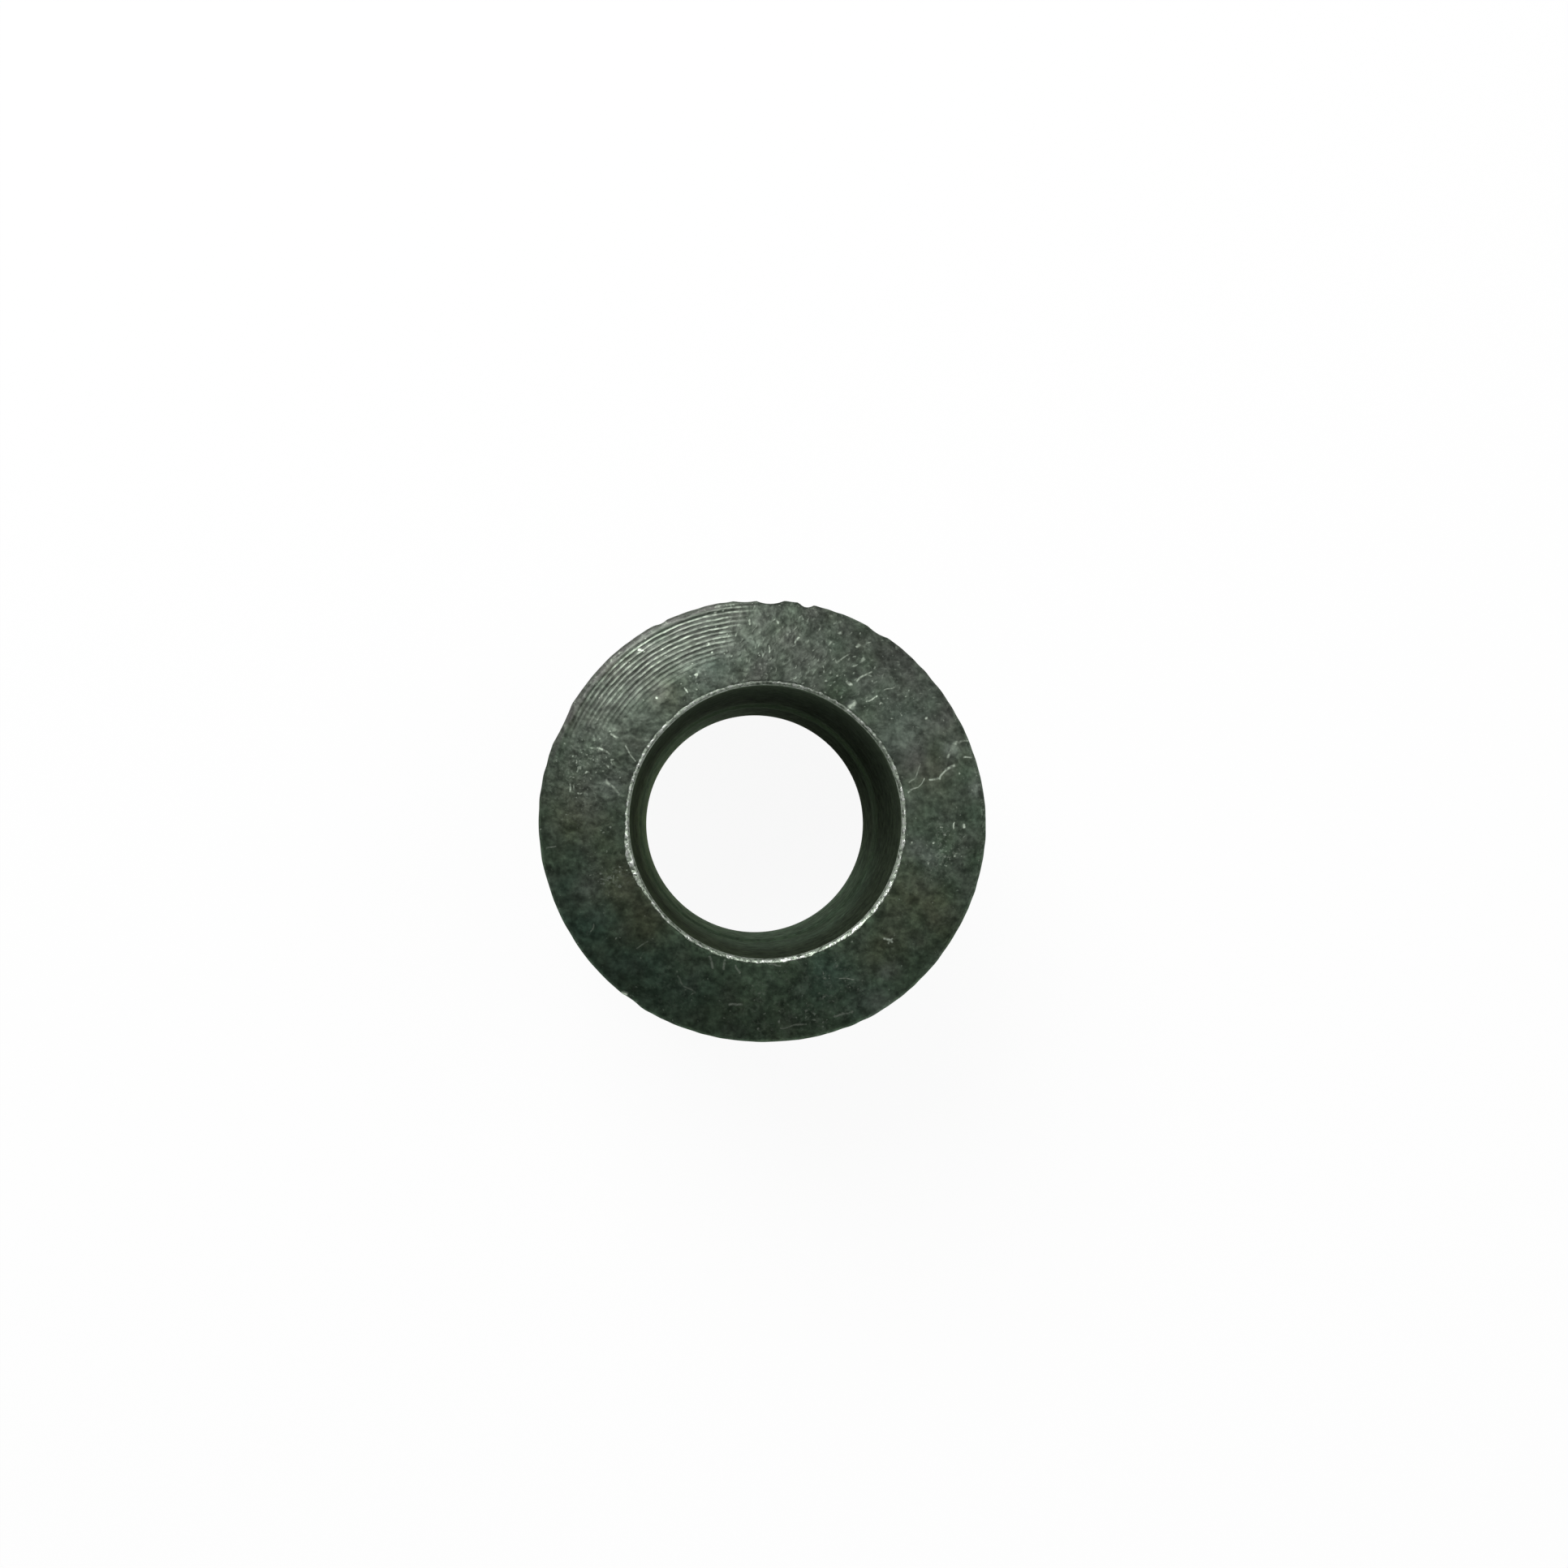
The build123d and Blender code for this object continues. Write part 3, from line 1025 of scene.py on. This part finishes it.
def placed_strokes(wire, place):
    """All the single scratches and specks of the crown as one mask, bent and broken by noise."""
    push = wire.ramp(wire.noise(place, 1.1, 0.0, 0.5), 0.0, 1.0, -0.15, 0.15)
    pull = wire.ramp(wire.noise(place, 1.3, 0.0, 0.5), 0.0, 1.0, -0.15, 0.15)
    pushed = wire.vector("ADD", place, wire.node("ShaderNodeCombineXYZ", {0: push, 1: pull}))
    flat = wire.vector("MULTIPLY", pushed, (1.0, 1.0, 0.0))
    mask = 0.0
    for (start_x, start_y), (end_x, end_y), width, strength in STROKES:
        inputs = {
            "Before": mask,
            "Place": flat,
            "Start": (start_x, start_y, 0.0),
            "Run": (end_x - start_x, end_y - start_y, 0.0),
            "Width": width * STROKE_WIDTH,
            "Strength": strength,
        }
        mask = wire.group(STROKE, inputs)
    return wire.times(mask, wire.ramp(wire.noise(place, 3.8, 1.0, 0.5), 0.35, 0.57, 0.38, 1.2))


def worn_mouth_ring(wire, place):
    """Mask of the worn mouth: a ring about the bore whose outer limit wanders."""
    flat = wire.vector("MULTIPLY", place, (1.0, 1.0, 0.0))
    radius = wire.math("SUBTRACT", wire.vector("LENGTH", flat, output=1), wire.attribute("mouth_out"))
    wander = wire.ramp(wire.noise(place, 1.8, 2.0, 0.6), 0.25, 0.75, -0.05, 0.05)
    beyond = wire.math("SUBTRACT", wire.sum_of(radius, wander), wire.attribute("mouth_reach"))
    on_crown = wire.ramp(beyond, MOUTH_RADIUS + 0.01, MOUTH_RADIUS - 0.07)
    in_bore = wire.ramp(radius, RELIEVED_RADIUS - 0.08, RELIEVED_RADIUS + 0.03)
    return wire.times(on_crown, in_bore)


def grooves_and_ridges(wire, place, polar, turned):
    """Masks of the turning marks, from sin^2 of their phase: their grooves and their beaded ridges."""
    wobble = wire.ramp(wire.noise(place, 0.9, 0.0, 0.5), 0.0, 1.0, -0.10, 0.10)
    swing = wire.math("SINE", wire.times(wire.sum_of(wire.attribute("turn_phase"), wobble), math.pi))
    uneven = wire.group(DRAWN_NOISE, {"Polar": polar, "Per Millimetre": (0.5, 3.0, 0.0)})
    uneven = wire.times(wire.ramp(uneven, 0.25, 0.70, 0.40, 1.20), turned)
    groove = wire.times(wire.ramp(wire.times(swing, swing), 0.15, 1.0), uneven)
    beads = wire.group(DRAWN_NOISE, {"Polar": polar, "Per Millimetre": (2.2, 3.0, 0.0)})
    ridge = wire.times(wire.ramp(wire.times(swing, swing), 0.8, 0.2), wire.ramp(beads, 0.3, 0.7, 0.40, 1.40))
    return groove, wire.times(ridge, uneven)


def crown_material():
    """Blackened steel of the crown: turning marks, grain, scratches and worn edges, with painted highlights,
    sheen and shade.
    """
    material, wire, shader = new_material("blackened_crown")
    place = wire.place_in_millimetres()
    polar = wire.group(POLAR_PLACE, {"Place": place})
    turned = wire.attribute("turned")
    streaked = wire.attribute("streaked")
    pebbled = wire.attribute("pebbled")
    burnished = wire.attribute("burnished")

    near_mouth = worn_mouth_ring(wire, place)
    groove, ridge = grooves_and_ridges(wire, place, polar, turned)
    streaks = wire.group(DRAWN_NOISE, {"Polar": polar, "Per Millimetre": (0.8, 6.0, 0.0)})

    # Places where the black is rubbed through, and how bare each kind is
    amount = wire.ramp(wire.attribute("speckled"), 0, 1, 0.45, 0.95)
    specks = wire.group(RUBBED_SPECKS, {"Place": place, "Amount": amount, "Size": 0.15})
    radial = wire.group(DRAWN_NOISE, {"Polar": polar, "Per Millimetre": (3.2, 2.0, 0.0), "Lean": 0.25})
    ticks = wire.times(wire.ramp(radial, 0.62, 0.80), pebbled)
    flecks = wire.group(RUBBED_SPECKS, {"Place": place, "Amount": 1.3, "Size": 0.11})
    wear_noise = wire.noise(place, 3.4, 3.0, 0.72)
    dents = wire.noise(place, 2.5, 1.5, 0.6)
    mouth_breaks = wire.ramp(wear_noise, 0.37, 0.56, 0.30, 1.0)
    mouth_wear = wire.times(wire.attribute("mouth_wear"), mouth_breaks, near_mouth)
    edge_wear = wire.times(wire.attribute("edge_wear"), wire.ramp(wear_noise, 0.50, 0.68))
    strokes = placed_strokes(wire, place)
    bare = wire.most(
        wire.times(ridge, 0.26),
        wire.times(specks, 0.50),
        wire.times(ticks, 0.42),
        wire.times(flecks, wire.attribute("speckled"), 0.14),
        wire.times(wire.group(HAIRLINES, {"Place": place}), 0.07),
        wire.times(edge_wear, 0.5),
        wire.times(strokes, 0.95),
        mouth_wear,
    )

    # Colour: oxide with painted shade in the grooves, burnish and painted sheen along the edge, bare steel,
    # painted highlights
    # Painted shade: the oxide is darker in the grooves of the turning marks, where shade falls
    groove_shade_factor = wire.math("SUBTRACT", 1.0, wire.times(groove, 0.55))
    leans = {name: wire.attribute(name.lower()) for name in ("Cool", "Brown", "Neutral", "Pale")}
    tone = wire.times(wire.attribute("tone"), groove_shade_factor)
    oxide = wire.group(OXIDE_COLOUR, {"Place": place, **leans, "Tone": tone})
    # Burnish and painted sheen: a lighter grey over the marks and the band by the edge, facing the key lamp
    burnish_and_sheen = wire.times(wire.times(burnished, groove_shade_factor), wire.ramp(streaks, 0.35, 0.65, 0.35, 0.85))
    oxide = wire.mix_colour(burnish_and_sheen, oxide, BURNISHED_OXIDE_AND_SHEEN)
    rough = wire.ramp(wire.noise(place, 1.4, 3.0, 0.6), 0.3, 0.7, 0.40, 0.50)
    rough = wire.math("SUBTRACT", rough, wire.times(bare, 0.12))
    # Painted highlights: near-white colour in spots on the worn mouth, strongest where it is painted barest
    painted_highlights = wire.times(wire.ramp(dents, 0.48, 0.62), mouth_wear)
    metal = wire.ramp(bare, 0, 0.6, OXIDE_METALLIC, BARE_METALLIC)
    scattered = wire.times(mouth_wear, wire.ramp(painted_highlights, 0, 1, MOUTH_SCATTER, MOUTH_SCATTER * 0.3))
    metal = wire.math("SUBTRACT", metal, scattered)
    colour = wire.mix_colour(bare, oxide, BARE_STEEL)
    colour = wire.mix_colour(painted_highlights, colour, PAINTED_HIGHLIGHT_COLOUR)

    # Relief in millimetres
    middle = wire.sum_of(wire.times(pebbled, 0.025), 0.025)
    skin = wire.group(SKIN_HEIGHT, {"Place": place, "Broad": 0.07, "Middle": middle, "Fine": 0.004})
    height = wire.sum_of(
        skin,
        wire.times(wire.ramp(radial, 0.40, 0.80), pebbled, 0.010),
        wire.times(groove, -CUT_DEPTH * (1 - MESHED_SHARE)),
        wire.times(streaks, streaked, 0.012),
        wire.times(wear_noise, near_mouth, 0.03),
        wire.times(dents, near_mouth, 0.12),
    )
    finish_shader(wire, shader, colour, metal, rough, height, EDGE_SHEEN)
    return material


def wall_material():
    """Blackened bar skin of the wall and foot: drawn lines up the wall, mottled oxide and a few rubs."""
    material, wire, shader = new_material("blackened_wall")
    place = wire.place_in_millimetres()
    drawn = wire.vector("MULTIPLY", place, (1.0, 1.0, 0.06))
    cool = wire.ramp(wire.noise(place, 0.25, 2.0, 0.5), 0.40, 0.65, 0.0, 0.30)
    brown = wire.ramp(wire.noise(place, 0.35, 2.0, 0.5), 0.45, 0.70, 0.0, 0.22)
    inputs = {"Place": place, "Cool": cool, "Brown": brown, "Neutral": 0.20, "Tone": 0.90}
    oxide = wire.group(OXIDE_COLOUR, inputs)
    specks = wire.group(RUBBED_SPECKS, {"Place": place, "Amount": 0.4, "Size": 0.14})
    scuffs = wire.group(RUBBED_SPECKS, {"Place": drawn, "Amount": 0.35, "Size": 0.12})
    bare = wire.most(wire.times(specks, 0.5), wire.times(scuffs, 0.35))
    skin = wire.group(SKIN_HEIGHT, {"Place": place, "Broad": 0.03, "Middle": 0.020, "Fine": 0.005})
    height = wire.sum_of(skin, wire.times(wire.noise(drawn, 3.0, 3.0, 0.6), 0.02))
    rough = wire.ramp(wire.noise(place, 1.2, 3.0, 0.6), 0.3, 0.7, 0.42, 0.56)
    colour = wire.mix_colour(bare, oxide, BARE_STEEL)
    metal = wire.ramp(bare, 0, 1, OXIDE_METALLIC, BARE_METALLIC)
    finish_shader(wire, shader, colour, metal, rough, height, EDGE_SHEEN)
    return material


def bore_material():
    """Blackened bore: dull dark oxide with faint rings, rubbed to a smoother grey and painted lighter towards
    the foot as light from the floor.
    """
    material, wire, shader = new_material("blackened_bore")
    place = wire.place_in_millimetres()
    ringed = wire.vector("MULTIPLY", place, (0.05, 0.05, 1.0))
    rings = wire.noise(ringed, 1.6, 4.0, 0.65)
    wear_and_floor_light = wire.attribute("bore_wear")
    rubbed = wire.ramp(wear_and_floor_light, 0.25, 1.0)
    # Painted light: the oxide is lighter where the rubbed share rises, towards the foot and most on one side
    tone = wire.ramp(wear_and_floor_light, 0.25, 1.0, BORE_TONE_ABOVE, BORE_TONE_BELOW)
    tone = wire.times(tone, wire.ramp(rings, 0.4, 0.6, 0.85, 1.12))
    brown = wire.ramp(rubbed, 0.0, 0.8, 0.30, 0.10)
    inputs = {"Place": place, "Cool": wire.ramp(rings, 0.5, 0.62, 0.0, 0.4), "Brown": brown, "Tone": tone}
    oxide = wire.group(OXIDE_COLOUR, inputs)
    oxide = wire.mix_colour(wire.attribute("olive"), oxide, OLIVE_TINT, "MULTIPLY")
    scuffs = wire.group(RUBBED_SPECKS, {"Place": ringed, "Amount": 0.25, "Size": 0.2})
    skin = wire.group(SKIN_HEIGHT, {"Place": place, "Broad": 0.01, "Middle": 0.008, "Fine": 0.003})
    height = wire.sum_of(skin, wire.times(rings, 0.012))
    rough = wire.ramp(wire.noise(place, 1.2, 3.0, 0.6), 0.3, 0.7, 0.62, 0.76)
    # Painted highlight on the shoulder and painted light about the lip, drawn as pale rubbed steel
    ledge = wire.attribute("ledge")
    lip = wire.times(wire.attribute("lip"), wire.ramp(wire.noise(place, 2.2, 2.0, 0.6), 0.35, 0.65, 0.6, 1.0))
    bare = wire.most(wire.times(scuffs, 0.12), ledge, wire.times(lip, 0.90))
    colour = wire.mix_colour(bare, oxide, RUBBED_AND_LIT_BORE)
    metal = wire.times(wear_and_floor_light, wire.math("SUBTRACT", 1.0, wire.most(ledge, lip)))
    shader.inputs["Specular IOR Level"].default_value = 0.0
    finish_shader(wire, shader, colour, metal, rough, height, BORE_SHEEN)
    return material


def make_floor():
    """A pale floor under the nut, which the camera and reflections see as white with a soft shadow.

    Seen white is a plain glow plus a share of the floor's own lit colour, so shadows still show.
    """
    half = FLOOR_HALF_WIDTH
    mesh = bpy.data.meshes.new("pale_floor")
    corners = [(-half, -half, 0), (half, -half, 0), (half, half, 0), (-half, half, 0)]
    mesh.from_pydata(corners, [], [(0, 1, 2, 3)])
    floor = bpy.data.objects.new("pale_floor", mesh)
    bpy.context.scene.collection.objects.link(floor)
    material = bpy.data.materials.new("pale_floor")
    material.use_nodes = True
    tree = material.node_tree
    tree.nodes.clear()
    wire = Wiring(tree)
    plain = wire.node("ShaderNodeBsdfDiffuse", {"Color": (0.82, 0.82, 0.82, 1)})
    lit_share = (FLOOR_SHADE, FLOOR_SHADE, FLOOR_SHADE, 1)
    lit = wire.node("ShaderNodeBsdfDiffuse", {"Color": lit_share})
    glow = 1 - FLOOR_SHADE * FLOOR_LIGHT
    glowing = wire.node("ShaderNodeEmission", {"Color": (1, 1, 1, 1), "Strength": glow})
    seen = wire.node("ShaderNodeAddShader", {0: lit, 1: glowing})
    path = tree.nodes.new("ShaderNodeLightPath").outputs
    looked_at = wire.most(path["Is Camera Ray"], path["Is Glossy Ray"], path["Is Transmission Ray"])
    mixed = wire.node("ShaderNodeMixShader", {0: looked_at, 1: plain, 2: seen})
    output = tree.nodes.new("ShaderNodeOutputMaterial")
    tree.links.new(mixed, output.inputs["Surface"])
    mesh.materials.append(material)


def make_world():
    """Soft surroundings: pale at the horizon and dim overhead, by the height of the direction."""
    world = bpy.data.worlds.new("soft_surroundings")
    bpy.context.scene.world = world
    world.use_nodes = True
    wire = Wiring(world.node_tree)
    direction = wire.node("ShaderNodeTexCoord", {})
    up = wire.node("ShaderNodeSeparateXYZ", {0: direction}, 2)
    level = wire.ramp(up, SKY_PALE_BELOW, SKY_DIM_ABOVE, SKY_PALE, SKY_DIM)
    wire.feed(world.node_tree.nodes["Background"].inputs["Strength"], level)
    wire.feed(world.node_tree.nodes["Background"].inputs["Color"], (1, 1, 1, 1))


def make_lamp(name, bearing, elevation, distance, size, brightness):
    """A square soft lamp that faces the crown from a bearing and an elevation, in degrees.

    Its power is pi times its area times its brightness, the level a white surface has beside it.
    """
    turn, rise = math.radians(bearing), math.radians(elevation)
    towards = (math.cos(turn) * math.cos(rise), math.sin(turn) * math.cos(rise), math.sin(rise))
    direction = Vector(towards)
    data = bpy.data.lights.new(name, "AREA")
    data.shape = "SQUARE"
    data.size = size
    data.energy = math.pi * size**2 * brightness
    lamp = bpy.data.objects.new(name, data)
    lamp.location = Vector((0, 0, HEIGHT * MM)) + direction * distance
    lamp.rotation_mode = "QUATERNION"
    lamp.rotation_quaternion = direction.to_track_quat("Z", "Y")
    bpy.context.scene.collection.objects.link(lamp)


def make_camera():
    """A camera a hand's breadth above the crown, left of the bore's axis and leaning a little."""
    data = bpy.data.cameras.new("camera")
    data.sensor_width = SENSOR_WIDTH
    data.lens = LENS
    data.clip_start = 0.005
    camera = bpy.data.objects.new("camera", data)
    pitch = Matrix.Rotation(math.radians(CAMERA_PITCH), 4, "X")
    yaw = Matrix.Rotation(math.radians(CAMERA_YAW), 4, "Y")
    place = Vector((CAMERA_X, CAMERA_Y, HEIGHT + CAMERA_ABOVE_CROWN)) * MM
    camera.matrix_world = Matrix.Translation(place) @ pitch @ yaw
    bpy.context.scene.collection.objects.link(camera)
    bpy.context.scene.camera = camera


OXIDE_COLOUR = oxide_colour_group()
RUBBED_SPECKS = rubbed_specks_group()
SKIN_HEIGHT = skin_height_group()
POLAR_PLACE = polar_place_group()
DRAWN_NOISE = drawn_noise_group()
HAIRLINES = hairlines_group()
STROKE = stroke_group()

make_camera()
make_floor()
make_world()
make_lamp("key_lamp", 115, 48, 0.45, 0.28, 5.0)
make_lamp("fill_lamp", 18, 58, 0.45, 0.30, 1.2)

nut = make_nut()
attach(nut, "root")
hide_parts("clutch_nut")

bpy.context.scene.view_settings.view_transform = "Standard"
